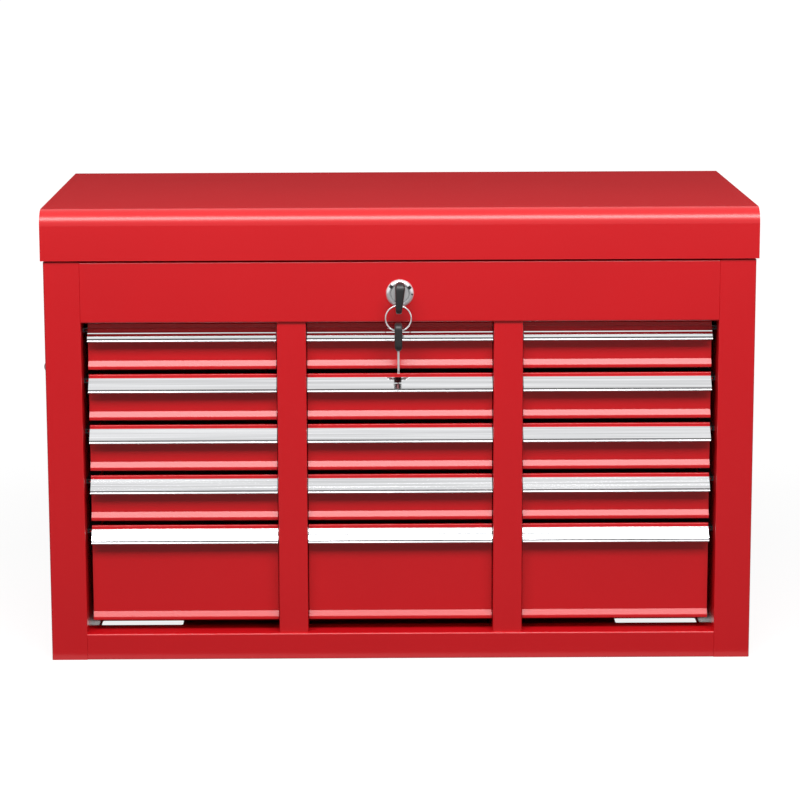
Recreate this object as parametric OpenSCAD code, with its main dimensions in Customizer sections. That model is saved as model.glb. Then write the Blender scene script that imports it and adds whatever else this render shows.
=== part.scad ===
// Portable steel tool box: a till under a rear-hinged lid, above three columns of five drawers.
// Millimetres. +Z is up and the drawers open towards -Y. The origin is the centre of the base's underside.

/* [Cabinet] */
// Width of the cabinet
body_w = 655.5; // [620:0.5:760]
// Depth of the cabinet, from the front plane to the back
body_d = 301; // [290:1:380]
// Height of the cabinet, without its lid
body_h = 377.8; // [350:0.2:460]
// Thickness of the steel sheet
sheet = 1; // [0.7:0.1:1.2]
// Outside radius of the bends that show
bend_r = 1.6; // [1.2:0.1:2.5]
// Width of the stile at each side of the front
stile_w = 33.5; // [28:0.5:42]
// Depth of the stile's return, up to the inner wall
stile_return = 11.5; // [8:0.5:12]
// Height of the front panel above the drawers
front_panel_h = 56.8; // [54:0.2:70]
// Depth of the flange under the front panel
front_lip = 11; // [6:0.5:12]
// Height of the bottom rail
rail_h = 25; // [16:0.5:35]
// Depth of the flange on top of the bottom rail
rail_flange = 30; // [16:0.5:34]
// Height of the hem behind that flange
rail_hem = 8; // [4:0.5:12]
// Depth of the flange that the lid meets along the front
top_flange = 15; // [10:0.5:18]
// Width of the flange that the lid meets along the sides
side_flange = 11; // [8:0.5:13]
// Depth of the flange along the top of the back panel
back_flange = 7; // [4:0.5:8]
// Width of the flanges that hold the back panel
rear_flange = 16; // [10:0.5:24]
// Height of the base pan's turned-up edges
pan_edge = 20; // [12:1:30]
// Foot of each inner wall, and depth of the till floor's turned-down edges
foot_w = 12; // [8:1:16]

/* [Base slots] */
// Length of each see-through slot in the base pan
slot_l = 80; // [50:1:90]
// Width of each slot
slot_w = 18; // [10:1:24]
// Distance from the front plane to the middle of a slot
slot_y = 120.5; // [90:0.5:140]
// Gap between a slot's end and the inner wall
slot_margin = 1.5; // [1:0.5:20]
// Length of the relief hole beside the left post
relief_l = 6; // [4:0.5:10]
// Width of the relief hole
relief_w = 3; // [2:0.5:5]

/* [Columns] */
// Clear width between the two posts
centre_w = 173.4; // [160:0.2:200]
// Width of each post
post_w = 27.2; // [22:0.2:34]
// How far each post stands behind the front plane
post_recess = 2.5; // [1.5:0.5:6]

/* [Drawers] */
// Height of a shallow drawer's front
shallow_h = 43; // [38:0.5:46]
// Gap between two drawer fronts
row_gap = 5; // [3:0.5:7]
// Gap above the top drawer's front
top_gap = 2.5; // [1.5:0.5:5]
// Gap between the bottom rail and the deep drawer's front
floor_gap = 10.5; // [6:0.5:16]
// How far the fronts stand behind the front plane
face_recess = 13; // [12.5:0.5:16]
// Gap between a front and a post
post_gap = 0.8; // [0.6:0.1:2]
// Gap between a front and a stile
stile_gap = 5.2; // [3:0.1:7]
// Depth of each tray behind its front
tray_d = 255; // [220:1:260]
// Height of the rolled edge along a front's bottom
bead_h = 8; // [7.5:0.5:12]
// How far the rolled edge stands forward
bead_d = 3; // [2.5:0.5:5]
// Height of the hem along a front's top
hem_h = 7; // [4:0.5:7]

/* [Runners] */
// Width of a runner, from the wall that carries it
runner_w = 9.8; // [8:0.2:12]
// Length of a runner
runner_l = 253; // [200:1:255]
// Distance from a front to the front end of its runners
runner_set = 8; // [4:1:14]
// Gap between a runner and the tray's side
runner_gap = 0.7; // [0.5:0.1:1.2]
// Gap between a tray's flange and the back of its runner
flange_gap = 1.2; // [0.8:0.1:2]
// Distance from the top of a front to the top of its tray's flange
flange_drop = 7; // [7:0.5:10]
// Gap under a tray's flange, where it rests
seat_gap = 0.3; // [0.2:0.05:0.5]
// Gap above a tray's flange
lift_gap = 0.7; // [0.4:0.1:1.2]

/* [Pulls] */
// Distance from the top of a front to the top of its pull
pull_drop = 3.4; // [2:0.2:5]
// How far a pull stands forward from its front
pull_d = 9.2; // [8:0.2:12]
// How far a pull's slope falls
pull_fall = 9.4; // [7:0.2:11]
// Height of the upright strip at the pull's front
lip_h = 1.6; // [1:0.2:3]
// Radius of the rounded edge along the pull's bottom
pull_edge_r = 0.9; // [0.6:0.1:1.2]
// Thickness of the pull's metal
pull_t = 1.2; // [0.8:0.1:1.5]
// Height of the pull's back plate
pull_back_h = 14; // [12:0.5:18]

/* [Lid] */
// How far the lid stands out at each side
lid_side = 2.25; // [1:0.25:4]
// How far the lid stands out at the front and the back
lid_front = 2; // [1:0.25:3]
// Height of the lid
lid_h = 46.8; // [42:0.2:70]
// Gap between the cabinet and the lid
lid_gap = 1.4; // [1:0.1:2]
// Radius of the roll along the lid's front edge
roll_r = 14.5; // [6:0.5:20]
// Width of the turned-in flange under the lid
lid_flange = 13.5; // [10:0.5:14]

/* [Hinge] */
// Length of the piano hinge
hinge_l = 600; // [500:1:606]
// Outside radius of the hinge's knuckles
knuckle_r = 3; // [2.6:0.1:3.4]
// Radius of the hinge pin
pin_r = 1.6; // [1.2:0.1:1.8]
// Number of knuckles
knuckles = 12; // [6:2:24]
// Gap between two knuckles
knuckle_gap = 0.4; // [0.3:0.1:0.8]
// Height of each leaf beyond its knuckles
leaf_h = 20; // [14:1:24]
// Radial gap of every pin in its bore
running_gap = 0.05; // [0.02:0.01:0.08]

/* [Struts] */
// Distance from the hinge pin to both pivots of a strut
strut_reach = 62; // [60:0.5:63]
// Angle of the cabinet pivot below the level of the hinge pin
strut_low = 48; // [46:0.5:49]
// Angle of the lid pivot above that level
strut_high = 27; // [25:0.5:28]
// Gap between a strut and the side flange
strut_side_gap = 4.75; // [4:0.25:8]
// Outside radius of a strut's tube
tube_r = 5; // [4.5:0.1:5.5]
// Radius of a strut's rod
rod_r = 2.5; // [2:0.1:2.8]
// Length of the tube, from the middle of its eye
tube_l = 66; // [64:0.5:67]
// Length of the rod, from the middle of its eye
rod_l = 63; // [61:0.5:64]
// Outside radius of a strut's eyes
eye_r = 5.8; // [5:0.1:6]
// Width of a strut's eyes
eye_w = 8; // [6:0.5:9]
// Radius of the pivot studs
stud_r = 3; // [2.5:0.1:3.2]

/* [Lock] */
// Height of the lock's centre above the till floor
lock_up = 25; // [24:0.2:27]
// Radius of the lock's bezel
bezel_r = 12.85; // [12:0.05:14]
// Thickness of the bezel
bezel_t = 2.4; // [1.8:0.1:3]
// Radius of the lock's barrel
barrel_r = 10; // [9:0.1:10.5]
// Length of the barrel behind the front plane
barrel_l = 22.5; // [20:0.5:24]
// Radius of the plug
plug_r = 8; // [7:0.1:8.5]
// Clear hole around the barrel
barrel_gap = 0.1; // [0.05:0.05:0.3]
// Distance across the nut's corners, halved
nut_r = 15; // [13:0.5:16]
// Thickness of the nut
nut_t = 4; // [3:0.5:5]
// Thickness of the cam
cam_t = 2.5; // [2:0.1:3]
// Outer radius of the cam's hook
hook_r = 28; // [26:0.5:28]
// Width of the cam's hook
hook_w = 5; // [3:0.5:6]
// Width of the cam's arm
arm_w = 9; // [8:0.5:10]
// Angle that the hook spans
hook_angle = 35; // [28:1:40]
// Radial gap between the hook and the striker's peg
hook_gap = 2; // [1:0.5:3]
// Radius of the striker's peg
peg_r = 2; // [1.5:0.1:2.5]

/* [Key] */
// Width of the key's head
key_head_w = 16; // [14:0.5:22]
// Height of the key's head
key_head_h = 29; // [22:0.5:30]
// Thickness of the key's head
key_head_t = 7; // [4:0.5:8]
// Radius of the hole in the key's head
key_hole_r = 2.5; // [1.5:0.1:3]
// Width of the key's blade
blade_w = 8; // [6:0.5:9]
// Thickness of the key's blade
blade_t = 2.2; // [1.6:0.1:2.6]
// Length of the key's blade
blade_l = 17; // [12:0.5:17]

/* [Side handles] */
// Height of the handles' pivots above the floor
handle_z = 262; // [180:1:300]
// Distance between the two arms of a handle
handle_span = 82; // [70:1:120]
// Distance from a handle's pivot to its grip
handle_drop = 42; // [34:1:60]
// Radius of a handle's rod
handle_rod_r = 3.5; // [3:0.1:4]
// Radius of the grip
grip_r = 5; // [4:0.1:6]
// Distance from the side panel to the pivot
handle_out = 7; // [6.5:0.5:9]
// Width of a handle bracket's ear
ear_w = 6; // [4:0.5:8]
// Gap between an arm and its ear
ear_gap = 1; // [0.5:0.1:2]
// Thickness of a bracket's plate
bracket_t = 1.6; // [1.2:0.1:2.5]
// Height of a bracket's plate
bracket_h = 34; // [30:1:44]
// Radius of a rivet's shank
rivet_r = 2; // [1.5:0.1:2.4]

/* [Hidden] */
$fn = 48;

red = [0.74, 0.10, 0.13];
zinc = [0.72, 0.73, 0.74];
bright = [0.88, 0.89, 0.91];
black = [0.08, 0.08, 0.09];
eps = 1; // how far a cutting shape runs past what it cuts

half_w = body_w / 2;
y_front = -body_d / 2;
y_back = body_d / 2;
rail_half = half_w - stile_w;
open_top = body_h - front_panel_h;
till_z = open_top + 2 * sheet;
y_inside_back = y_back - 2 * sheet;
relief_y = 11; // distance from the front plane to the relief hole

// Columns: 0 left, 1 centre, 2 right. Rows: 0 is the deep drawer at the bottom, 4 the top one.
COLUMNS = ["left", "centre", "right"];
ROWS = 5;
post_in = centre_w / 2;
post_out = post_in + post_w;
function wall_a(c) = c == 0 ? -rail_half : c == 1 ? -post_in : post_out;
function wall_b(c) = c == 0 ? -post_out : c == 1 ? post_in : rail_half;
function face_a(c) = wall_a(c) + (c == 0 ? stile_gap : post_gap);
function face_b(c) = wall_b(c) - (c == 2 ? stile_gap : post_gap);
shallow_pitch = shallow_h + row_gap;
top_row_z = open_top - top_gap;
deep_z = rail_h + floor_gap;
function row_top(r) = top_row_z - (ROWS - 1 - r) * shallow_pitch;
function row_bottom(r) = r == 0 ? deep_z : row_top(r) - shallow_h;
face_y = y_front + face_recess;
tray_back_y = face_y + tray_d;
tray_inset = runner_w + runner_gap;
bead_slope_h = 5; // how far the rolled edge's slope falls
bead_bend_r = 1.5;

// Lid and hinge
lid_half = half_w + lid_side;
lid_y_front = y_front - lid_front;
lid_y_back = y_back + lid_front;
lid_z = body_h + lid_gap;
lid_top = lid_z + lid_h;
hinge_y = y_back + knuckle_r;
hinge_z = body_h + lid_gap / 2;
knuckle_l = hinge_l / knuckles;
leaf_set = 0.6; // gap between a leaf's plate and the other leaf's knuckles
leaf_low_z = hinge_z - knuckle_r - leaf_set;
leaf_high_z = hinge_z + knuckle_r + leaf_set;
hinge_rivets = 7;

// Struts: both pivots lie on one circle around the hinge pin, so a strut always turns half as far as the lid.
strut_x = half_w - side_flange - strut_side_gap - tube_r;
strut_l = 2 * strut_reach * sin((strut_low + strut_high) / 2);
strut_lean = (strut_high - strut_low) / 2; // lean of the strut from the vertical, towards the front
low_y = hinge_y - strut_reach * cos(strut_low);
low_z = hinge_z - strut_reach * sin(strut_low);
high_y = hinge_y - strut_reach * cos(strut_high);
high_z = hinge_z + strut_reach * sin(strut_high);
gland_l = 6;
piston_t = 3;
tube_wall = 1;
piston_gap = 0.1;
stud_head_t = 1.5;
stud_head_over = 1.5;
stud_end_gap = 0.3;
stud_tube_gap = 0.8; // gap between a stud's head and the tube

// Lock
lock_z = till_z + lock_up;
plug_sunk = 0.6; // how far the plug's face lies inside the bezel
cam_gap = 0.5; // gap between the barrel and the cam
barrel_end = y_front + barrel_l;
cam_y = barrel_end + cam_gap;
cam_back = cam_y + cam_t;
cam_boss_r = 4;
screw_r = 2;
screw_head_r = 5.5;
screw_head_t = 2.2;
screw_l = 6;
screw_slot_w = 1.2;
screw_slot_l = 7;
screw_slot_t = 1;
peg_share = 0.63; // how far along the hook the peg stands, once the cam has turned
peg_at = hook_r - hook_w - hook_gap - peg_r;
peg_angle = 90 + hook_angle * peg_share;
peg_x = peg_at * cos(peg_angle);
peg_z = lock_z + peg_at * sin(peg_angle);
striker_t = 1.5;
striker_w = 26;
striker_gap = 0.8; // gap between the striker's plate and the cam's screw
striker_y = cam_back + screw_head_t + striker_gap;
striker_low = peg_z - 2 * peg_r;
peg_reach = 1.5; // how far the peg's end stands in front of the cam
key_gap = 0.4; // gap between the bezel and the key's head
key_y = y_front - bezel_t - key_gap; // where the key's head starts
keyway_gap = 0.2;
key_head_r = 6;
key_hole_low = 8.6; // distance from the head's lower end to the middle of its hole
key_head_low = 2.5;

// Side handles
pivot_x = half_w + handle_out;
ear_in = handle_span / 2 + handle_rod_r + ear_gap;
ear_out = ear_in + ear_w;
ear_half_h = 6.5;
bracket_flange = 15;
rivet_head_r = rivet_r + 1.5;
rivet_head_t = 1.2;
rivet_taper = 1;
rivet_tail_t = 0.8;
rivet_tail_over = 1;
rivet_gap = 0.1;
rivet_up = 11; // distance from the pivot's level to a bracket's rivets
grip_inset = 6; // distance from an arm to the grip's end

function drawer_name(c, r) = str(COLUMNS[c], "_drawer_", ROWS - r);
function pull_name(c, r) = str(COLUMNS[c], "_pull_", ROWS - r);

// ---- Shared shapes ----

// A box between two corners
module block(x0, x1, y0, y1, z0, z1) {
    translate([x0, y0, z0]) cube([x1 - x0, y1 - y0, z1 - z0]);
}

// Both sides of the cabinet
module both_sides() {
    children();
    mirror([1, 0, 0]) children();
}

// An outline drawn in (Y, Z), drawn out along X
module along_x(x0, x1) {
    translate([x0, 0, 0]) rotate([90, 0, 90]) linear_extrude(x1 - x0) children();
}

// A flat rectangle between two corners
module area(x0, x1, y0, y1) {
    translate([x0, y0]) square([x1 - x0, y1 - y0]);
}

// What a bend of radius r takes off a square corner at (x, y), whose material lies towards (sx, sy)
module bend_off(x, y, sx, sy, r) {
    translate([x, y]) scale([sx, sy]) difference() {
        translate([-eps, -eps]) square(r + eps);
        translate([r, r]) circle(r);
    }
}

// A round bar along X, from x0 to x1
module bar_x(x0, x1, y, z, r) {
    translate([x0, y, z]) rotate([0, 90, 0]) cylinder(h = x1 - x0, r = r);
}

// A round bar along Y, from y0 to y1
module bar_y(y0, y1, x, z, r) {
    translate([x, y0, z]) rotate([-90, 0, 0]) cylinder(h = y1 - y0, r = r);
}

// ---- Cabinet ----

// The right-hand side panel, folded into its stile and flanges
module side_panel() {
    color(red) {
        linear_extrude(body_h) difference() {
            union() {
                area(half_w - sheet, half_w, y_front, y_back);
                area(rail_half, half_w, y_front, y_front + sheet);
            }
            bend_off(half_w, y_front, -1, 1, bend_r);
            bend_off(rail_half, y_front, 1, 1, sheet);
            area(half_w, half_w + eps, y_back - eps, y_back);
        }
        translate([0, 0, sheet]) linear_extrude(open_top - sheet) difference() {
            area(rail_half, rail_half + sheet, y_front, y_front + stile_return);
            bend_off(rail_half, y_front, 1, 1, sheet);
        }
        block(rail_half, half_w - bend_r, y_front + bend_r, y_front + top_flange, body_h - sheet, body_h);
        block(rail_half + sheet, half_w - bend_r, y_front, y_front + bend_r, body_h - sheet, body_h);
        block(half_w - side_flange, half_w, y_front + bend_r, y_back - sheet, body_h - sheet, body_h);
        block(half_w - rear_flange, half_w, y_inside_back, y_back - sheet, sheet, body_h);
    }
}

// Holes for a handle's rivets, in the right-hand side panel
module handle_rivet_holes() {
    for (s = [-1, 1], z = [-rivet_up, rivet_up])
        bar_x(half_w - sheet - eps, half_w + bracket_t + eps, s * (ear_in + ear_w / 2), handle_z + z,
              rivet_r + rivet_gap);
}

module right_side_panel() {
    difference() {
        side_panel();
        handle_rivet_holes();
    }
}

module left_side_panel() {
    mirror([1, 0, 0]) right_side_panel();
}

function hinge_rivet_x(i) = (i / (hinge_rivets - 1) - 0.5) * (hinge_l - 2 * knuckle_l);
hinge_rivet_z = leaf_low_z - leaf_h / 2;

module hinge_rivet_holes() {
    for (i = [0:hinge_rivets - 1])
        bar_y(y_back - sheet - eps, y_back + sheet + eps, hinge_rivet_x(i), hinge_rivet_z, rivet_r + rivet_gap);
}

module back_panel() {
    color(red) difference() {
        union() {
            block(-half_w + sheet, half_w - sheet, y_back - sheet, y_back, 0, body_h);
            block(-half_w + side_flange, half_w - side_flange, y_back - back_flange, y_back, body_h - sheet,
                  body_h);
        }
        // The rear flanges of the side panels end under the top flange
        both_sides() block(half_w - rear_flange - sheet, half_w, y_back - back_flange - eps, y_back - sheet,
                           body_h - sheet - eps, body_h + eps);
        hinge_rivet_holes();
    }
}

// A slot with rounded corners in the base pan
module base_slot() {
    middle = rail_half - slot_margin - slot_l / 2;
    corner_r = 2;
    straight_l = slot_l - 2 * corner_r;
    straight_w = slot_w - 2 * corner_r;
    translate([middle, y_front + slot_y, -eps]) linear_extrude(sheet + 2 * eps) {
        square([straight_l, slot_w], center = true);
        square([slot_l, straight_w], center = true);
        for (sx = [-1, 1], sy = [-1, 1]) translate([sx * straight_l / 2, sy * straight_w / 2]) circle(corner_r);
    }
}

module base_pan() {
    color(red) difference() {
        union() {
            block(-half_w + sheet, half_w - sheet, y_front + sheet, y_back - sheet, 0, sheet);
            along_x(-rail_half, rail_half) difference() {
                union() {
                    area(y_front, y_front + sheet, 0, rail_h);
                    area(y_front, y_front + 2 * sheet, 0, sheet);
                    area(y_front, y_front + rail_flange, rail_h - sheet, rail_h);
                    area(y_front + rail_flange - sheet, y_front + rail_flange, rail_h - rail_hem, rail_h);
                }
                bend_off(y_front, rail_h, 1, -1, bend_r);
                bend_off(y_front, 0, 1, 1, sheet);
            }
            both_sides() block(half_w - 2 * sheet, half_w - sheet, y_front + sheet, y_inside_back, 0, pan_edge);
            block(-half_w + rear_flange, half_w - rear_flange, y_inside_back, y_back - sheet, 0, pan_edge);
        }
        both_sides() base_slot();
        block(-post_in + eps, -post_in + eps + relief_l, y_front + relief_y - relief_w / 2,
              y_front + relief_y + relief_w / 2, rail_h - sheet - eps, rail_h + eps);
    }
}

module front_panel() {
    color(red) difference() {
        along_x(-rail_half, rail_half) difference() {
            union() {
                area(y_front, y_front + sheet, open_top, body_h);
                area(y_front, y_front + front_lip, open_top, open_top + sheet);
                area(y_front, y_front + top_flange, body_h - sheet, body_h);
            }
            bend_off(y_front, open_top, 1, 1, bend_r);
            bend_off(y_front, body_h, 1, -1, bend_r);
        }
        bar_y(y_front - eps, y_front + sheet + eps, 0, lock_z, barrel_r + barrel_gap);
    }
}

// The right-hand divider: a channel whose front is the post and whose sides carry runners
module divider() {
    y_post = y_front + post_recess;
    color(red) difference() {
        translate([0, 0, sheet]) linear_extrude(open_top) difference() {
            area(post_in, post_out, y_post, y_inside_back);
            area(post_in + sheet, post_out - sheet, y_post + sheet, y_back);
            bend_off(post_in, y_post, 1, 1, bend_r);
            bend_off(post_out, y_post, -1, 1, bend_r);
        }
        block(post_in - eps, post_out + eps, y_front, y_front + rail_flange, 0, rail_h);
        block(post_in - eps, post_out + eps, y_front, y_front + front_lip, open_top, till_z);
    }
}

module right_divider() {
    divider();
}

module left_divider() {
    mirror([1, 0, 0]) divider();
}

module inner_walls() {
    color(red) both_sides() {
        block(rail_half, rail_half + sheet, y_front + stile_return, y_inside_back, sheet, open_top + sheet);
        block(rail_half, rail_half + foot_w, y_front + stile_return, y_inside_back, sheet, 2 * sheet);
    }
}

module till_floor() {
    color(red) {
        block(-half_w + sheet, half_w - sheet, y_front + sheet, y_inside_back, till_z - sheet, till_z);
        both_sides() block(half_w - 2 * sheet, half_w - sheet, y_front + stile_return, y_inside_back,
                           till_z - foot_w, till_z);
    }
}

// ---- Drawers ----

// One runner on the wall at x, opening towards s
module runner(x, s, r) {
    z_flange = row_top(r) - flange_drop - sheet;
    low = z_flange - seat_gap - sheet;
    high = z_flange + sheet + lift_gap + sheet;
    y0 = face_y + runner_set;
    translate([x, y0, 0]) scale([s, 1, 1]) {
        block(0, sheet, 0, runner_l, low, high);
        block(0, runner_w, 0, runner_l, low, low + sheet);
        block(0, runner_w, 0, runner_l, high - sheet, high);
    }
}

module drawer_runners() {
    color(zinc) for (c = [0:2], r = [0:ROWS - 1]) {
        runner(wall_a(c), 1, r);
        runner(wall_b(c), -1, r);
    }
}

// The rolled edge's outline, drawn forward and up from the face's bottom: a slope, a bend and an upright front
module bead_outline() {
    lean = atan(bead_d / bead_slope_h); // of the slope, from the vertical
    bend_z = bead_h - bead_slope_h - bead_bend_r * tan(lean / 2); // where the bend starts
    polygon([
        [sheet, 0],
        [sheet, bead_h],
        [0, bead_h],
        [-bead_d + bead_bend_r * (1 - cos(lean)), bend_z + bead_bend_r * sin(lean)],
        [-bead_d + bead_bend_r, bend_z],
        [-bead_d, bend_z],
        [-bead_d, 0]]);
    translate([-bead_d + bead_bend_r, bend_z]) circle(bead_bend_r);
}

// The section of a drawer's front: hem, flat face and rolled bottom edge
module face_section(z0, z1) {
    slope = bead_slope_h / bead_d;
    wall_z = sheet * sqrt(1 + slope * slope); // the sloping sheet's thickness, measured upright
    difference() {
        union() {
            area(face_y, face_y + sheet, z0, z1);
            area(face_y, face_y + 2 * sheet, z1 - hem_h, z1);
            translate([face_y, z0]) bead_outline();
        }
        translate([face_y, z0]) polygon([
            [-bead_d + sheet, sheet],
            [sheet + eps, sheet],
            [sheet + eps, bead_h - wall_z + slope * (sheet + eps)],
            [-bead_d + sheet, bead_h - wall_z - slope * (bead_d - sheet)]]);
        bend_off(face_y - bead_d, z0, 1, 1, sheet);
        bend_off(face_y, z1, 1, -1, sheet);
    }
}

module drawer(c, r) {
    z0 = row_bottom(r);
    z1 = row_top(r);
    a = wall_a(c) + tray_inset;
    b = wall_b(c) - tray_inset;
    flange_top = z1 - flange_drop;
    flange_w = runner_w - sheet + runner_gap - flange_gap;
    color(red) {
        along_x(face_a(c), face_b(c)) face_section(z0, z1);
        block(a, b, face_y, tray_back_y, z0, z0 + sheet);
        block(a, b, tray_back_y - sheet, tray_back_y, z0, flange_top);
        for (x = [a, b - sheet]) block(x, x + sheet, face_y, tray_back_y, z0, flange_top);
        block(a - flange_w, a + sheet, face_y + runner_set, tray_back_y, flange_top - sheet, flange_top);
        block(b - sheet, b + flange_w, face_y + runner_set, tray_back_y, flange_top - sheet, flange_top);
    }
}

// A full-width pull: back plate, grooved slope, upright strip and rounded bottom edge
module pull(c, r) {
    z1 = row_top(r) - pull_drop;
    flat = 0.8; // level strip at the top of the slope
    strip_y = -pull_d + pull_edge_r; // front of the upright strip
    fall = pull_fall / (-strip_y - flat); // the slope's fall over its run
    under = pull_t * sqrt(1 + fall * fall); // the slope's thickness, measured upright
    edge_z = -pull_fall - lip_h - pull_edge_r;
    groove_at = 0.53; // how far down the slope its groove lies
    groove_w = 0.7;
    groove_t = 0.4;
    groove_y = -flat + groove_at * (strip_y + flat);
    groove_z = -groove_at * pull_fall;
    color(bright) translate([0, face_y, z1]) along_x(face_a(c), face_b(c)) {
        polygon([
            [0, 0],
            [-flat, 0],
            [groove_y + groove_w / 2, groove_z + fall * groove_w / 2],
            [groove_y, groove_z - groove_t],
            [groove_y - groove_w / 2, groove_z - fall * groove_w / 2],
            [strip_y, -pull_fall],
            [strip_y, edge_z],
            [strip_y + pull_edge_r, edge_z],
            [strip_y + pull_edge_r, -pull_fall - under + fall * pull_edge_r],
            [-pull_t, -under - fall * (pull_t - flat)],
            [-pull_t, -pull_back_h],
            [0, -pull_back_h]]);
        translate([strip_y, edge_z]) circle(pull_edge_r);
    }
}

// ---- Lid ----

// The outline of the lid's side, with its rolled front edge, drawn in by inset
module lid_section(inset) {
    difference() {
        area(lid_y_front + inset, lid_y_back - inset, lid_z - (inset > 0 ? eps : 0), lid_top - inset);
        bend_off(lid_y_front + inset, lid_top - inset, 1, -1, roll_r - inset);
    }
}

module lid() {
    color(red) {
        difference() {
            along_x(-lid_half, lid_half) lid_section(0);
            along_x(-lid_half + sheet, lid_half - sheet) lid_section(sheet);
            // Room for the hinge's knuckles along the back
            block(-lid_half + sheet, lid_half - sheet, lid_y_back - 2 * sheet, lid_y_back + eps, lid_z - eps,
                  leaf_high_z);
        }
        block(-lid_half, lid_half, lid_y_front, lid_y_front + lid_flange, lid_z, lid_z + sheet);
        both_sides() block(lid_half - side_flange - lid_side, lid_half, lid_y_front, y_back - back_flange,
                           lid_z, lid_z + sheet);
    }
}

// A bent plate on the lid's front flange, with a peg that the cam hooks over
module lid_striker() {
    plate_z = lid_z + sheet;
    plate_gap = 0.5; // gap between the plate's edge and the inside of the lid's front
    color(zinc) {
        block(-striker_w / 2, striker_w / 2, lid_y_front + sheet + plate_gap, striker_y + striker_t, plate_z,
              plate_z + striker_t);
        block(-striker_w / 2, striker_w / 2, striker_y, striker_y + striker_t, striker_low,
              plate_z + striker_t);
        bar_y(cam_y - peg_reach, striker_y + striker_t / 2, peg_x, peg_z, peg_r);
    }
}

// ---- Hinge ----

function knuckle_x(i) = -hinge_l / 2 + i * knuckle_l + knuckle_gap / 2;

// A knuckle, and the tab from z0 to z1 that joins it to the leaf whose plate starts at y
module knuckle(i, y, z0, z1) {
    bar_x(knuckle_x(i), knuckle_x(i) + knuckle_l - knuckle_gap, hinge_y, hinge_z, knuckle_r);
    block(knuckle_x(i), knuckle_x(i) + knuckle_l - knuckle_gap, y, y + sheet, z0, z1);
}

module hinge_bore() {
    bar_x(-hinge_l / 2 - eps, hinge_l / 2 + eps, hinge_y, hinge_z, pin_r + running_gap);
}

module hinge_fixed_leaf() {
    color(zinc) difference() {
        union() {
            block(-hinge_l / 2, hinge_l / 2, y_back, y_back + sheet, leaf_low_z - leaf_h, leaf_low_z);
            for (i = [0:2:knuckles - 1]) knuckle(i, y_back, leaf_low_z - eps, hinge_z);
        }
        hinge_bore();
        hinge_rivet_holes();
    }
}

module hinge_lid_leaf() {
    color(zinc) difference() {
        union() {
            block(-hinge_l / 2, hinge_l / 2, lid_y_back, lid_y_back + sheet, leaf_high_z, leaf_high_z + leaf_h);
            for (i = [1:2:knuckles - 1]) knuckle(i, lid_y_back, hinge_z, leaf_high_z + eps);
        }
        hinge_bore();
    }
}

module hinge_pin() {
    color(zinc) bar_x(-hinge_l / 2, hinge_l / 2, hinge_y, hinge_z, pin_r);
}

// ---- Struts ----

// A strut's own frame: origin at the cabinet pivot, +Z along the strut, X along its studs
module in_strut() {
    both_sides() translate([strut_x, low_y, low_z]) rotate([-strut_lean, 0, 0]) children();
}

module eye(z) {
    translate([-eye_w / 2, 0, z]) rotate([0, 90, 0]) cylinder(h = eye_w, r = eye_r);
}

module eye_bore(z) {
    translate([-eye_w / 2 - eps, 0, z]) rotate([0, 90, 0])
        cylinder(h = eye_w + 2 * eps, r = stud_r + running_gap);
}

module strut_tubes() {
    tube_start = stud_r + stud_head_over + stud_tube_gap;
    bore_start = eye_r + 2 * tube_wall;
    color(black) in_strut() difference() {
        union() {
            eye(0);
            translate([0, 0, tube_start]) cylinder(h = tube_l - tube_start, r = tube_r);
        }
        eye_bore(0);
        translate([0, 0, bore_start]) cylinder(h = tube_l - gland_l - bore_start, r = tube_r - tube_wall);
        translate([0, 0, bore_start]) cylinder(h = tube_l, r = rod_r + running_gap);
    }
}

module strut_rods() {
    color(bright) in_strut() difference() {
        union() {
            eye(strut_l);
            translate([0, 0, strut_l - rod_l]) cylinder(h = rod_l, r = rod_r);
            translate([0, 0, strut_l - rod_l]) cylinder(h = piston_t, r = tube_r - tube_wall - piston_gap);
        }
        eye_bore(strut_l);
    }
}

// A pivot stud from the wall at x_wall, through a strut's eye
module strut_stud(x_wall, y, z) {
    x_head = strut_x - eye_w / 2 - stud_end_gap;
    bar_x(x_head - eps, x_wall, y, z, stud_r);
    bar_x(x_head - stud_head_t, x_head, y, z, stud_r + stud_head_over);
    bar_x(x_wall - 2 * stud_head_t, x_wall, y, z, stud_r + 2 * stud_head_over);
}

module cabinet_strut_studs() {
    color(zinc) both_sides() strut_stud(half_w - sheet, low_y, low_z);
}

module lid_strut_studs() {
    color(zinc) both_sides() strut_stud(lid_half - sheet, high_y, high_z);
}

// ---- Lock and key ----

module lock_housing() {
    chamfer = 0.8;
    mark_w = 3.1; // side of the square marks in the bezel
    mark_in = plug_r + 0.7; // distance from the axis to a mark
    mark_t = 1.2;
    color(bright) difference() {
        union() {
            bar_y(y_front - bezel_t + chamfer, y_front, 0, lock_z, bezel_r);
            translate([0, y_front - bezel_t, lock_z]) rotate([-90, 0, 0])
                cylinder(h = chamfer, r1 = bezel_r - chamfer, r2 = bezel_r);
            bar_y(y_front - eps, barrel_end, 0, lock_z, barrel_r);
        }
        bar_y(y_front - bezel_t - eps, barrel_end + eps, 0, lock_z, plug_r + running_gap);
        translate([0, y_front - bezel_t, lock_z]) for (turn = [-32, -142]) rotate([0, turn, 0])
            block(mark_in, mark_in + mark_w, -eps, mark_t, -mark_w / 2, mark_w / 2);
    }
}

module lock_nut() {
    y0 = y_front + sheet;
    color(zinc) difference() {
        translate([0, y0, lock_z]) rotate([-90, 0, 0]) cylinder(h = nut_t, r = nut_r, $fn = 6);
        bar_y(y0 - eps, y0 + nut_t + eps, 0, lock_z, barrel_r + barrel_gap / 2);
    }
}

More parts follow.
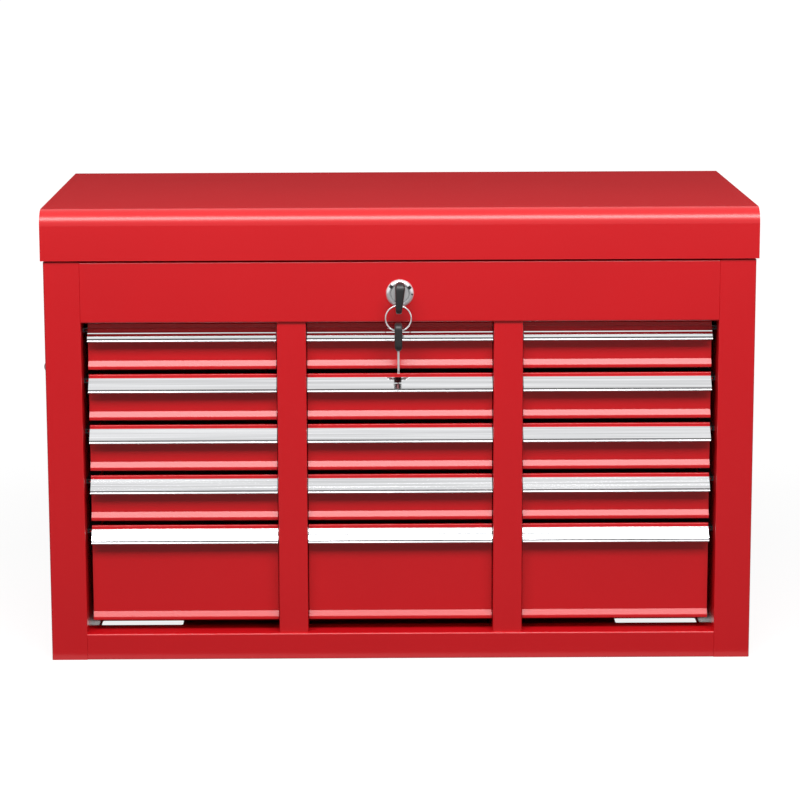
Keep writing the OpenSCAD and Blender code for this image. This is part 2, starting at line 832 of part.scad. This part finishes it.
module lock_plug() {
    face = y_front - bezel_t + plug_sunk;
    color(bright) difference() {
        union() {
            bar_y(face, cam_y, 0, lock_z, plug_r);
            bar_y(cam_y - eps, cam_back, 0, lock_z, cam_boss_r);
        }
        block(-blade_t / 2 - keyway_gap, blade_t / 2 + keyway_gap, face - eps, key_y + blade_l + keyway_gap,
              lock_z - blade_w / 2 - keyway_gap, lock_z + blade_w / 2 + keyway_gap);
        bar_y(cam_back - screw_l - keyway_gap, cam_back + eps, 0, lock_z, screw_r + running_gap);
    }
}

// The cam: an arm with a hook that is part of a ring around the lock's axis
module lock_cam() {
    color(zinc) translate([0, cam_back, lock_z]) rotate([90, 0, 0]) linear_extrude(cam_t) difference() {
        union() {
            circle(arm_w);
            translate([0, -arm_w / 2]) square([hook_r - 1, arm_w]);
            intersection() {
                difference() {
                    circle(hook_r);
                    circle(hook_r - hook_w);
                }
                polygon([[0, 0], [hook_r * 2, 0], [hook_r * 2, hook_r * 2 * tan(hook_angle)]]);
            }
        }
        circle(cam_boss_r + running_gap);
    }
}

module cam_screw() {
    color(zinc) difference() {
        union() {
            bar_y(cam_back, cam_back + screw_head_t, 0, lock_z, screw_head_r);
            bar_y(cam_back - screw_l, cam_back + eps, 0, lock_z, screw_r);
        }
        translate([0, cam_back + screw_head_t, lock_z]) for (turn = [0, 90]) rotate([0, turn, 0])
            block(-screw_slot_w / 2, screw_slot_w / 2, -screw_slot_t, eps, -screw_slot_l / 2, screw_slot_l / 2);
    }
}

module key_blade() {
    notch_d = 1.2;
    notch_w = 1.5;
    bottom = lock_z - blade_w / 2;
    color(zinc) difference() {
        block(-blade_t / 2, blade_t / 2, key_y, key_y + blade_l, bottom, lock_z + blade_w / 2);
        for (i = [1:4]) {
            y0 = key_y + blade_l - 2 * notch_w * i;
            block(-blade_t, blade_t, y0, y0 + notch_w, bottom - eps, bottom + notch_d * (1 + i % 2) / 2);
        }
    }
}

module key_head() {
    low = lock_z - key_head_h / 2 - key_head_low;
    outer = key_y - key_head_w;
    color(black) difference() {
        along_x(-key_head_t / 2, key_head_t / 2) difference() {
            area(outer, key_y, low, low + key_head_h);
            bend_off(outer, low, 1, 1, key_head_r);
            bend_off(outer, low + key_head_h, 1, -1, key_head_r);
            bend_off(key_y, low, -1, 1, key_head_r);
            bend_off(key_y, low + key_head_h, -1, -1, key_head_r);
        }
        bar_x(-key_head_t, key_head_t, outer + key_head_w / 2, low + key_hole_low, key_hole_r);
    }
}

// ---- Side handles ----

module handle_brackets() {
    color(zinc) both_sides() for (s = [-1, 1]) scale([1, s, 1]) difference() {
        union() {
            block(half_w, half_w + bracket_t, ear_in, ear_in + bracket_flange, handle_z - bracket_h / 2,
                  handle_z + bracket_h / 2);
            block(half_w, pivot_x, ear_in, ear_out, handle_z - ear_half_h, handle_z + ear_half_h);
            bar_y(ear_in, ear_out, pivot_x, handle_z, ear_half_h);
        }
        bar_y(ear_in - eps, ear_out + eps, pivot_x, handle_z, handle_rod_r + running_gap);
        for (z = [-rivet_up, rivet_up])
            bar_x(half_w - eps, half_w + bracket_t + eps, ear_in + ear_w / 2, handle_z + z,
                  rivet_r + rivet_gap);
    }
}

module right_handle() {
    arm_y = handle_span / 2;
    color(bright) {
        for (s = [-1, 1]) scale([1, s, 1]) {
            bar_y(arm_y, ear_out, pivot_x, handle_z, handle_rod_r);
            translate([pivot_x, arm_y, handle_z]) sphere(handle_rod_r);
            translate([pivot_x, arm_y, handle_z - handle_drop]) cylinder(h = handle_drop, r = handle_rod_r);
            translate([pivot_x, arm_y, handle_z - handle_drop]) sphere(handle_rod_r);
        }
        bar_y(-arm_y, arm_y, pivot_x, handle_z - handle_drop, handle_rod_r);
        bar_y(-arm_y + grip_inset, arm_y - grip_inset, pivot_x, handle_z - handle_drop, grip_r);
    }
}

module left_handle() {
    mirror([1, 0, 0]) right_handle();
}

// A rivet along +Z: its head starts at the origin and its tail lies below what it holds
module rivet(grip) {
    cylinder(h = rivet_head_t, r1 = rivet_head_r, r2 = rivet_head_r - rivet_taper);
    translate([0, 0, -grip - rivet_tail_t]) {
        cylinder(h = grip + rivet_tail_t + rivet_head_t / 2, r = rivet_r);
        cylinder(h = rivet_tail_t, r = rivet_r + rivet_tail_over);
    }
}

module rivets() {
    color(zinc) {
        for (i = [0:hinge_rivets - 1])
            translate([hinge_rivet_x(i), y_back + sheet, hinge_rivet_z]) rotate([-90, 0, 0]) rivet(2 * sheet);
        both_sides() for (s = [-1, 1], z = [-rivet_up, rivet_up])
            translate([half_w + bracket_t, s * (ear_in + ear_w / 2), handle_z + z]) rotate([0, 90, 0])
                rivet(bracket_t + sheet);
    }
}

left_side_panel();
right_side_panel();
back_panel();
base_pan();
front_panel();
left_divider();
right_divider();
inner_walls();
till_floor();
drawer_runners();
for (c = [0:2], r = [0:ROWS - 1]) drawer(c, r);
for (c = [0:2], r = [0:ROWS - 1]) pull(c, r);
lid();
lid_striker();
hinge_fixed_leaf();
hinge_lid_leaf();
hinge_pin();
strut_tubes();
strut_rods();
cabinet_strut_studs();
lid_strut_studs();
lock_housing();
lock_nut();
lock_plug();
lock_cam();
cam_screw();
key_blade();
key_head();
handle_brackets();
left_handle();
right_handle();
rivets();
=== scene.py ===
import math

import bmesh
import bpy
from mathutils import Euler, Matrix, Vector


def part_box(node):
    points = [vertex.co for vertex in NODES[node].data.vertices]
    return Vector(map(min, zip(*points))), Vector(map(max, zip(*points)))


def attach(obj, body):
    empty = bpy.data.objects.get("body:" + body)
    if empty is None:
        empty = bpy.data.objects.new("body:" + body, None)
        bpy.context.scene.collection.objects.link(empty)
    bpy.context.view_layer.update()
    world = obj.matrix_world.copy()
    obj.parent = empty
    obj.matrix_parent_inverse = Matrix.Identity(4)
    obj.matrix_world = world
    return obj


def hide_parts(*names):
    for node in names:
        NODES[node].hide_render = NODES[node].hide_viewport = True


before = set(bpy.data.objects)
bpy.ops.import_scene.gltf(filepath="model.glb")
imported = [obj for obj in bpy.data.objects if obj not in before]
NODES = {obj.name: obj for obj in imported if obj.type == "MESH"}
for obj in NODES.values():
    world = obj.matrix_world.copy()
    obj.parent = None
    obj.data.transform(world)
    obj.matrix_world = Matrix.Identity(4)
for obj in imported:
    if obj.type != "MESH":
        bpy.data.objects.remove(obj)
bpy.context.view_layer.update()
MM = 0.001

# ---- Driving values, in millimetres unless a name says otherwise ----

CAMERA_AT = (-28.0, -2499.2, 723.0)
CAMERA_DOWN = 9.22  # degrees
CAMERA_RIGHT = 0.22  # degrees, turned towards +X
CAMERA_ROLL = -0.213  # degrees
CAMERA_LENS = 116.4
CAMERA_SHIFT = (0.0259, -0.125)

WORLD_FILL = 0.22
WORLD_MIRRORED = 0.95  # what the world shows in reflections
FLOOR_WHITE = 0.86  # what the floor gives to the camera of itself, near the object
FLOOR_SHADOW = 0.2  # what the lamps add to it, which the object's shadow takes away
FLOOR_GREY = 0.2  # how much light the floor returns to the object
FLOOR_HALF = 15.0  # metres
FADE_FROM, FADE_TO = 0.5, 2.0  # metres from the origin, between which the floor turns plain white

# Cards that only reflections see: grey level and corners in metres
CARD_HALF = 2.5
BACK_CARD = {"grey": 0.08, "y": 0.9, "top": 0.95}
FLOOR_CARD = {"grey": 0.2, "near": -0.16, "far": -4, "z": 0.002}

# Softboxes: place, aimed at, size in metres, and radiance
OVERHEAD = ((0, -0.75, 1.75), (0, -0.15, 0.4), (2.4, 0.6), 0.8)
FRONT_KEY = ((0, -1.24, 1.6), (0, -0.15, 0.3), (2.6, 0.6), 8.8)

RED = (0.64, 0.007, 0.012)
ALUMINIUM = (0.90, 0.905, 0.92)
ZINC = (0.40, 0.405, 0.42)
CHROME = (0.86, 0.87, 0.89)
STEEL = (0.80, 0.80, 0.81)
BLACK = (0.018, 0.018, 0.019)

RING_R = 11.8  # mean radius of the split ring
RING_TURNS = 2
WIRE_R = 0.62
RING_LEFT = 1.6  # how far the ring hangs left of the lock's axis
HOLE_R = 2.5  # hole in a key's head
HOLE_END = 8.6  # from that hole's middle to the head's end
HEAD_T = 9  # thickness of the head in the lock
SPARE_W = 16  # width, height and thickness of the spare key's head
SPARE_H = 26
SPARE_T = 7
BLADE_W = 8  # width, thickness and length of the spare key's blade
BLADE_T = 1.9
BLADE_L = 21
NOTCHES = 4
NOTCH_STEP = 3.2
NOTCH_D = 1.2  # depth of the deeper notches, the others are half as deep
BORE_R = 8.05  # the housing's bore, round the plug
BARREL_R = 10.0
FLANGE_T = 2.4  # from the bezel's front to the panel

# The bezel's domed face, from the bore outwards: radius, and distance behind its front
DOME = ((BORE_R, 0.9), (BORE_R + 0.15, 0.5), (BORE_R + 0.5, 0.2), (9.6, 0.0), (10.4, 0.1), (11.1, 0.4), (11.7, 0.85),
        (12.2, 1.4))

# Marks in the bezel, which dark pads fill as painted shade: angle in degrees, distance from the axis, side
MARKS = ((32, 8.7, 3.1), (142, 8.7, 3.1), (-5, 10.5, 1.5))
MARK_DEPTH = 1.5
PAD_GAP = 0.05  # between a mark's wall and its pad
PAD_DOWN = 0.35  # from the bezel's front to the pad's
PAD_CHAMFER = (0.3, 0.25)  # inwards and backwards


# ---- Shader helpers ----

class Shader:
    """A material with one Principled shader, and short calls for the nodes that feed it."""

    def __init__(self, name):
        self.material = bpy.data.materials.new(name)
        self.material.use_nodes = True
        self.tree = self.material.node_tree
        self.main = self.tree.nodes["Principled BSDF"]

    def add(self, kind, **values):
        node = self.tree.nodes.new(kind)
        for key, value in values.items():
            if hasattr(node, key):
                setattr(node, key, value)
            else:
                node.inputs[key.replace("_", " ").title()].default_value = value
        return node

    def link(self, source, target):
        self.tree.links.new(source, target)

    def place(self, stretch=(1, 1, 1)):
        """Object coordinates in metres, stretched per axis."""
        mapping = self.add("ShaderNodeMapping")
        mapping.inputs["Scale"].default_value = stretch
        self.link(self.add("ShaderNodeTexCoord").outputs["Object"], mapping.inputs["Vector"])
        return mapping.outputs["Vector"]

    def noise(self, scale, detail=3.0, stretch=(1, 1, 1)):
        node = self.add("ShaderNodeTexNoise", scale=scale, detail=detail)
        self.link(self.place(stretch), node.inputs["Vector"])
        return node.outputs["Fac"]

    def between(self, value, low, high, start=0.3, end=0.7):
        """The value, from start..end to low..high."""
        node = self.add("ShaderNodeMapRange")
        node.inputs["From Min"].default_value = start
        node.inputs["From Max"].default_value = end
        node.inputs["To Min"].default_value = low
        node.inputs["To Max"].default_value = high
        self.link(value, node.inputs["Value"])
        return node.outputs["Result"]

    def colours(self, value, low, high, start=0.3, end=0.7):
        """A colour between low and high that follows the value."""
        node = self.add("ShaderNodeMix", data_type="RGBA")
        rgba = [i for i in node.inputs if i.type == "RGBA"]
        rgba[0].default_value = (*low, 1)
        rgba[1].default_value = (*high, 1)
        self.link(self.between(value, 0, 1, start, end), node.inputs["Factor"])
        return [o for o in node.outputs if o.type == "RGBA"][0]

    def bump(self, value, depth):
        """A bump of this depth in metres."""
        node = self.add("ShaderNodeBump")
        node.inputs["Distance"].default_value = depth
        self.link(value, node.inputs["Height"])
        return node.outputs["Normal"]

    def set(self, **values):
        for key, value in values.items():
            socket = self.main.inputs[key.replace("_", " ")]
            if isinstance(value, bpy.types.NodeSocket):
                self.link(value, socket)
            else:
                socket.default_value = value
        return self


def shade(colour, factor):
    return tuple(c * factor for c in colour)


# ---- Materials ----

def powder_coat():
    s = Shader("red_powder_coat")
    cloud = s.noise(9, 2)
    peel = s.noise(420, 1)
    s.set(
        Base_Color=s.colours(cloud, shade(RED, 0.96), shade(RED, 1.04), 0, 1),
        Roughness=0.27,
        Specular_IOR_Level=0.6,
        Normal=s.bump(peel, 0.000003),
    )
    return s.material


def extruded_aluminium():
    """Bright extruded metal, with drawn lines along its length."""
    s = Shader("bright_aluminium")
    streaks = s.noise(1, 2, (4, 520, 520))
    s.set(
        Base_Color=s.colours(streaks, shade(ALUMINIUM, 0.72), ALUMINIUM),
        Metallic=1.0,
        Roughness=s.between(streaks, 0.03, 0.07),
        Normal=s.bump(streaks, 0.00001),
    )
    return s.material


def zinc_plate():
    s = Shader("zinc_plate")
    spangle = s.noise(160, 2)
    s.set(
        Base_Color=s.colours(spangle, shade(ZINC, 0.9), ZINC),
        Metallic=1.0,
        Roughness=s.between(s.noise(45, 3), 0.26, 0.40),
    )
    return s.material


def plated(name, colour, metallic, low, high):
    """Plated metal. Below 1, metallic gives the milky look of a lacquered or die-cast piece."""
    s = Shader(name)
    s.set(
        Base_Color=s.colours(s.noise(300, 2), shade(colour, 0.96), colour),
        Metallic=metallic,
        Roughness=s.between(s.noise(120, 3), low, high),
    )
    return s.material


def satin_black(name, low, high):
    s = Shader(name)
    grain = s.noise(900, 2)
    s.set(
        Base_Color=s.colours(s.noise(40, 2), shade(BLACK, 0.85), shade(BLACK, 1.15)),
        Roughness=s.between(s.noise(80, 3), low, high),
        Normal=s.bump(grain, 0.00001),
    )
    return s.material


MATERIALS = {
    "red_paint": powder_coat(),
    "pull_metal": extruded_aluminium(),
    "zinc_plate": zinc_plate(),
    "black_paint": satin_black("black_paint", 0.28, 0.38),
    "lock_chrome": plated("lock_chrome", CHROME, 0.6, 0.14, 0.22),
    "plug_steel": plated("plug_steel", STEEL, 0.7, 0.30, 0.42),
    "handle_chrome": plated("handle_chrome", CHROME, 1.0, 0.06, 0.12),
    "black_plastic": satin_black("black_plastic", 0.32, 0.42),
}

# The runners are darkened as painted shade, standing in for the shade in the gaps beside the drawers, where they show
RUNNER_PAINTED_SHADE = plated("runner_steel_painted_shade", (0.10, 0.10, 0.105), 1.0, 0.40, 0.52)


def dress_cad():
    """Every CAD node comes with its record slot as its material, and takes the finish made for that slot; the runners
    take a darker one instead, which is painted shade.
    """
    for obj in NODES.values():
        obj.data.materials[0] = MATERIALS[obj.data.materials[0].name]
    # The runners' dark finish is painted shade for the gaps beside the drawers
    NODES["drawer_runners"].data.materials[0] = RUNNER_PAINTED_SHADE


# ---- Lock ----

def block(name, low, high):
    """A box's mesh between two corners, in millimetres."""
    (x0, y0, z0), (x1, y1, z1) = low, high
    mesh = bpy.data.meshes.new(name)
    corners = [(x * MM, y * MM, z * MM) for x in (x0, x1) for y in (y0, y1) for z in (z0, z1)]
    sides = [(0, 1, 3, 2), (4, 6, 7, 5), (0, 4, 5, 1), (2, 3, 7, 6), (0, 2, 6, 4), (1, 5, 7, 3)]
    mesh.from_pydata(corners, [], sides)
    obj = bpy.data.objects.new(name, mesh)
    bpy.context.scene.collection.objects.link(obj)
    return obj


def make_housing():
    """The lock's housing, turned: a domed bezel with its square marks, and the barrel behind it."""
    low, high = (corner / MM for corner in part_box("lock_housing"))
    front, z = low.y, (low.z + high.z) / 2
    rim, length = (high.z - low.z) / 2, high.y - front
    profile = [*DOME, (rim - 0.15, 1.95), (rim, FLANGE_T), (BARREL_R, FLANGE_T), (BARREL_R, length), (BORE_R, length)]
    steps = 96
    work = bmesh.new()
    rings = []
    for i in range(steps):
        a = 2 * math.pi * i / steps
        points = [(r * math.cos(a), front + y, z + r * math.sin(a)) for r, y in profile]
        rings.append([work.verts.new([c * MM for c in point]) for point in points])
    for i, ring in enumerate(rings):
        after = rings[(i + 1) % steps]
        for j in range(len(profile)):
            k = (j + 1) % len(profile)
            work.faces.new((ring[j], ring[k], after[k], after[j]))
    mesh = bpy.data.meshes.new("lock_housing_turned")
    work.to_mesh(mesh)
    work.free()
    housing = finished("lock_housing_turned", mesh)
    for angle, inner, side in MARKS:
        cutter = block("mark", (inner, front - 1, -side / 2), (inner + side, front + MARK_DEPTH, side / 2))
        cutter.rotation_euler = (0, -math.radians(angle), 0)
        cutter.location = (0, 0, z * MM)
        cut = housing.modifiers.new("mark", "BOOLEAN")
        cut.object = cutter
        cut.solver = "EXACT"
        bpy.context.view_layer.update()
        housing.data = bpy.data.meshes.new_from_object(housing.evaluated_get(bpy.context.evaluated_depsgraph_get()))
        housing.modifiers.clear()
        bpy.data.objects.remove(cutter)
    housing.data.set_sharp_from_angle(angle=math.radians(35))
    dress(housing, "cabinet", "lock_chrome")
    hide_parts("lock_housing")
    make_mark_shade_pads(front, z)


def make_mark_shade_pads(front, z):
    """A dark pad in each mark, a little below the bezel's face and bevelled along its front edges: painted shade,
    standing in for the shade in these recesses.
    """
    inwards, backwards = PAD_CHAMFER
    face_y = front + PAD_DOWN
    outlines = ((face_y, inwards), (face_y + backwards, 0), (front + MARK_DEPTH + 0.1, 0))
    pads = bmesh.new()
    for angle, inner, side in MARKS:
        a, half, middle = math.radians(angle), side / 2 - PAD_GAP, inner + side / 2
        rings = []
        for y, inset in outlines:
            rings.append([])
            for u, v in ((-1, -1), (1, -1), (1, 1), (-1, 1)):
                x, up = middle + u * (half - inset), v * (half - inset)
                at = (x * math.cos(a) - up * math.sin(a), y, z + x * math.sin(a) + up * math.cos(a))
                rings[-1].append(pads.verts.new([c * MM for c in at]))
        for ring, after in zip(rings, rings[1:]):
            for i in range(4):
                k = (i + 1) % 4
                pads.faces.new((ring[i], ring[k], after[k], after[i]))
        pads.faces.new(rings[0])
        pads.faces.new(rings[-1])
    mesh = bpy.data.meshes.new("bezel_mark_shade_pads")
    pads.to_mesh(mesh)
    pads.free()
    # The pads' black is painted shade in the bezel's marks
    dress(finished("bezel_mark_shade_pads", mesh), "cabinet", "black_paint")


# ---- Keys and ring ----

def arc(y, z, radius, start, end, steps=12):
    """Points of an arc, with angles in degrees from +Y towards +Z."""
    angles = [math.radians(start + (end - start) * i / steps) for i in range(steps + 1)]
    return [(y + radius * math.cos(a), z + radius * math.sin(a)) for a in angles]


def rounded(y0, y1, z0, z1, low_r, high_r):
    """A rectangle's outline in (Y, Z) with round corners."""
    return (arc(y1 - low_r, z0 + low_r, low_r, -90, 0) + arc(y1 - high_r, z1 - high_r, high_r, 0, 90)
            + arc(y0 + high_r, z1 - high_r, high_r, 90, 180) + arc(y0 + low_r, z0 + low_r, low_r, 180, 270))


def plate(name, loops, thickness, edge_r):
    """A flat piece from closed outlines in (Y, Z), in millimetres, as thick along X, with rounded edges."""
    curve = bpy.data.curves.new(name, "CURVE")
    curve.dimensions = "2D"
    curve.fill_mode = "BOTH"
    curve.extrude = (thickness / 2 - edge_r) * MM
    curve.bevel_depth = edge_r * MM
    curve.offset = -edge_r * MM
    curve.bevel_resolution = 3
    for loop in loops:
        spline = curve.splines.new("POLY")
        spline.points.add(len(loop) - 1)
        spline.use_cyclic_u = True
        for point, (y, z) in zip(spline.points, loop):
            point.co = (y * MM, z * MM, 0, 1)
    flat = bpy.data.objects.new(name, curve)
    bpy.context.scene.collection.objects.link(flat)
    bpy.context.view_layer.update()
    mesh = bpy.data.meshes.new_from_object(flat.evaluated_get(bpy.context.evaluated_depsgraph_get()))
    bpy.data.objects.remove(flat)
    for vertex in mesh.vertices:
        y, z, x = vertex.co
        vertex.co = (x, y, z)
    return finished(name, mesh)


def finished(name, mesh):
    """Welds and smooths a mesh, and returns its object."""
    work = bmesh.new()
    work.from_mesh(mesh)
    bmesh.ops.remove_doubles(work, verts=work.verts, dist=0.00001)
    bmesh.ops.recalc_face_normals(work, faces=work.faces)
    work.to_mesh(mesh)
    work.free()
    for face in mesh.polygons:
        face.use_smooth = True
    mesh.set_sharp_from_angle(angle=math.radians(35))
    obj = bpy.data.objects.new(name, mesh)
    bpy.context.scene.collection.objects.link(obj)
    return obj


def dress(obj, body, slot):
    obj.data.materials.clear()
    obj.data.materials.append(MATERIALS[slot])
    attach(obj, body)
    return obj


def narrowed(obj, z_low, z_high, low, high, shift):
    """Scales a piece's thickness from low at z_low to high at z_high, and moves its lower end by shift along X."""
    for vertex in obj.data.vertices:
        t = min(max((vertex.co.z / MM - z_low) / (z_high - z_low), 0), 1)
        vertex.co.x = vertex.co.x * (low + (high - low) * t) + shift * (1 - t) * MM
    return obj


def make_key_head():
    """The head in the lock: a moulded grip that hangs down from the blade, narrower at its lower end."""
    low, high = (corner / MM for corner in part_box("key_head"))
    middle = (low.y + high.y) / 2
    outline = rounded(low.y, high.y, low.z, high.z, 5, 7)
    hole = arc(middle, low.z + HOLE_END, HOLE_R, 360, 0, 32)[:-1]
    head = plate("key_head_moulded", [outline, hole], HEAD_T, 1.9)
    narrowed(head, low.z + 2, high.z - 6, 0.64, 1.0, -1.2)
    crown = 5  # height over which the top is rounded
    for vertex in head.data.vertices:
        up = max(vertex.co.z / MM - (high.z - crown), 0) / crown
        vertex.co.x *= math.sqrt(1 - 0.8 * min(up, 1) ** 2)
    dress(head, "key", "black_plastic")
    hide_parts("key_head")
    return middle, low.z + HOLE_END


def make_ring(y, hole_z):
    """A split ring: two turns of wire, which rest on the lower edge of the head's hole."""
    x = -RING_LEFT
    z = hole_z - HOLE_R - math.sqrt((RING_R - WIRE_R) ** 2 - 9)
    steps = 96  # in one turn
    cross = 0.12  # share of a turn, over which the wire goes from one turn's plane to the other's
    points = []
    for i in range(RING_TURNS * steps + 1):
        t = i / steps
        slide = min(max((t - 1 + cross / 2) / cross, 0), 1)
        slide = slide * slide * (3 - 2 * slide)
        a = 2 * math.pi * (t + 0.08)
        points.append((x + RING_R * math.cos(a), y + (2 * slide - 1) * WIRE_R * 1.02, z + RING_R * math.sin(a)))
    curve = bpy.data.curves.new("split_ring", "CURVE")
    curve.dimensions = "3D"
    curve.bevel_depth = WIRE_R * MM
    curve.bevel_resolution = 5
    curve.use_fill_caps = True
    spline = curve.splines.new("POLY")
    spline.points.add(len(points) - 1)
    for point, at in zip(spline.points, points):
        point.co = (*(c * MM for c in at), 1)
    flat = bpy.data.objects.new("ring_path", curve)
    bpy.context.scene.collection.objects.link(flat)
    bpy.context.view_layer.update()
    mesh = bpy.data.meshes.new_from_object(flat.evaluated_get(bpy.context.evaluated_depsgraph_get()))
    bpy.data.objects.remove(flat)
    dress(finished("split_ring", mesh), "key", "lock_chrome")
    return x, z - math.sqrt((RING_R - WIRE_R) ** 2 - (SPARE_T / 2) ** 2)


def make_spare_key(x, y, ring_z):
    """The spare key, which hangs from the ring by the hole in its head."""
    hole_z = ring_z - HOLE_R
    top = hole_z + HOLE_END
    bottom = top - SPARE_H
    half = SPARE_W / 2
    outline = rounded(y - half, y + half, bottom, top, 7, 5)
    hole = arc(y, hole_z, HOLE_R, 360, 0, 32)[:-1]
    head = plate("spare_key_head", [outline, hole], SPARE_T, 1.6)
    narrowed(head, bottom, bottom + 4, 0.6, 1.0, 0)
    tip = bottom - BLADE_L
    side = BLADE_W / 2
    edge = [(y - side, bottom + 3), (y - side, tip + 3), (y - 1, tip), (y + 1, tip), (y + side, tip + 3)]
    for i in range(NOTCHES):
        z = tip + 4 + i * NOTCH_STEP
        depth = NOTCH_D * (1 + i % 2) / 2
        edge += [(y + side, z), (y + side - depth, z + 0.8), (y + side - depth, z + 1.6), (y + side, z + 2.4)]
    edge += [(y + side, bottom + 3)]
    blade = plate("spare_key_blade", [edge], BLADE_T, 0.25)
    for piece, slot in ((head, "black_plastic"), (blade, "plug_steel")):
        for vertex in piece.data.vertices:
            vertex.co.x += x * MM
        dress(piece, "key", slot)


# ---- Camera, floor and light ----

def make_camera():
    data = bpy.data.cameras.new("camera")
    data.lens = CAMERA_LENS
    data.shift_x, data.shift_y = CAMERA_SHIFT
    data.clip_end = 50
    camera = bpy.data.objects.new("camera", data)
    camera.location = Vector(CAMERA_AT) * MM
    aim = Euler((math.radians(90 - CAMERA_DOWN), 0, math.radians(-CAMERA_RIGHT))).to_matrix()
    roll = Euler((0, 0, math.radians(CAMERA_ROLL))).to_matrix()
    camera.rotation_euler = (aim @ roll).to_euler()
    bpy.context.scene.collection.objects.link(camera)
    bpy.context.scene.camera = camera


def ray_level(tree, camera, bounced, rest):
    """A number for each kind of ray: camera rays, then glossy and transmission rays, then all others."""
    path = tree.nodes.new("ShaderNodeLightPath")

    def pick(factor, yes, no):
        mix = tree.nodes.new("ShaderNodeMix")
        tree.links.new(factor, mix.inputs["Factor"])
        for name, value in (("B", yes), ("A", no)):
            if isinstance(value, bpy.types.NodeSocket):
                tree.links.new(value, mix.inputs[name])
            else:
                mix.inputs[name].default_value = value
        return mix.outputs["Result"]

    level = pick(path.outputs["Is Glossy Ray"], bounced, rest)
    level = pick(path.outputs["Is Transmission Ray"], bounced, level)
    return pick(path.outputs["Is Camera Ray"], camera, level)


def make_world():
    """White to the camera, pale in reflections, and a dim fill for what is lit."""
    world = bpy.data.worlds.new("studio")
    bpy.context.scene.world = world
    world.use_nodes = True
    tree = world.node_tree
    background = tree.nodes["Background"]
    background.inputs["Color"].default_value = (1, 1, 1, 1)
    tree.links.new(ray_level(tree, 1, WORLD_MIRRORED, WORLD_FILL), background.inputs["Strength"])


def plane(name, corners, material):
    mesh = bpy.data.meshes.new(name)
    mesh.from_pydata(corners, [], [(0, 1, 2, 3)])
    mesh.materials.append(material)
    obj = bpy.data.objects.new(name, mesh)
    bpy.context.scene.collection.objects.link(obj)
    return obj


def by_distance(tree, near, far):
    """A number that goes from near, beside the object, to far, away from it."""
    length = tree.nodes.new("ShaderNodeVectorMath")
    length.operation = "LENGTH"
    tree.links.new(tree.nodes.new("ShaderNodeTexCoord").outputs["Object"], length.inputs[0])
    ramp = tree.nodes.new("ShaderNodeMapRange")
    ramp.inputs["From Min"].default_value = FADE_FROM
    ramp.inputs["From Max"].default_value = FADE_TO
    ramp.inputs["To Min"].default_value = near
    ramp.inputs["To Max"].default_value = far
    tree.links.new(length.outputs["Value"], ramp.inputs["Value"])
    return ramp.outputs["Result"]


def make_floor():
    """White to the camera, with the object's soft shadow on it."""
    material = bpy.data.materials.new("floor")
    material.use_nodes = True
    tree = material.node_tree
    tree.nodes.remove(tree.nodes["Principled BSDF"])
    lit = tree.nodes.new("ShaderNodeBsdfDiffuse")
    tree.links.new(ray_level(tree, FLOOR_SHADOW, FLOOR_GREY, FLOOR_GREY), lit.inputs["Color"])
    white = tree.nodes.new("ShaderNodeEmission")
    tree.links.new(ray_level(tree, by_distance(tree, FLOOR_WHITE, 1), 1 - FLOOR_GREY, 0), white.inputs["Strength"])
    total = tree.nodes.new("ShaderNodeAddShader")
    tree.links.new(lit.outputs[0], total.inputs[0])
    tree.links.new(white.outputs[0], total.inputs[1])
    tree.links.new(total.outputs[0], tree.nodes["Material Output"].inputs["Surface"])
    corners = [(x * FLOOR_HALF, y * FLOOR_HALF, 0) for x, y in ((-1, -1), (1, -1), (1, 1), (-1, 1))]
    plane("floor", corners, material)


def flag(name, corners, grey):
    """A card that only reflections see, as a studio sets them round glossy paint."""
    material = bpy.data.materials.new(name)
    material.use_nodes = True
    shader = material.node_tree.nodes["Principled BSDF"]
    shader.inputs["Base Color"].default_value = (grey, grey, grey, 1)
    shader.inputs["Roughness"].default_value = 1
    shader.inputs["Specular IOR Level"].default_value = 0
    card = plane(name, corners, material)
    card.visible_camera = card.visible_diffuse = card.visible_transmission = False
    card.visible_shadow = card.visible_volume_scatter = False


def make_flags():
    half = CARD_HALF
    y, top = BACK_CARD["y"], BACK_CARD["top"]
    flag("flag_back", [(-half, y, 0), (half, y, 0), (half, y, top), (-half, y, top)], BACK_CARD["grey"])
    near, far, z = FLOOR_CARD["near"], FLOOR_CARD["far"], FLOOR_CARD["z"]
    flag("flag_floor", [(-half, far, z), (half, far, z), (half, near, z), (-half, near, z)], FLOOR_CARD["grey"])


def softbox(name, at, towards, size, radiance):
    """A softbox. Its radiance is what a mirror would show, where 1 is white."""
    data = bpy.data.lights.new(name, "AREA")
    data.shape = "RECTANGLE"
    data.size, data.size_y = size
    data.energy = radiance * math.pi * size[0] * size[1]
    light = bpy.data.objects.new(name, data)
    light.location = at
    light.rotation_euler = (Vector(towards) - Vector(at)).to_track_quat("-Z", "Y").to_euler()
    bpy.context.scene.collection.objects.link(light)
    return light


def make_lights():
    softbox("overhead", *OVERHEAD).visible_glossy = False
    softbox("front_key", *FRONT_KEY)


# ---- Closing ----


dress_cad()
make_housing()
key_y, hole_z = make_key_head()
ring_x, ring_z = make_ring(key_y, hole_z)
make_spare_key(ring_x, key_y, ring_z)
make_camera()
make_world()
make_floor()
make_flags()
make_lights()
bpy.context.scene.view_settings.view_transform = "Standard"
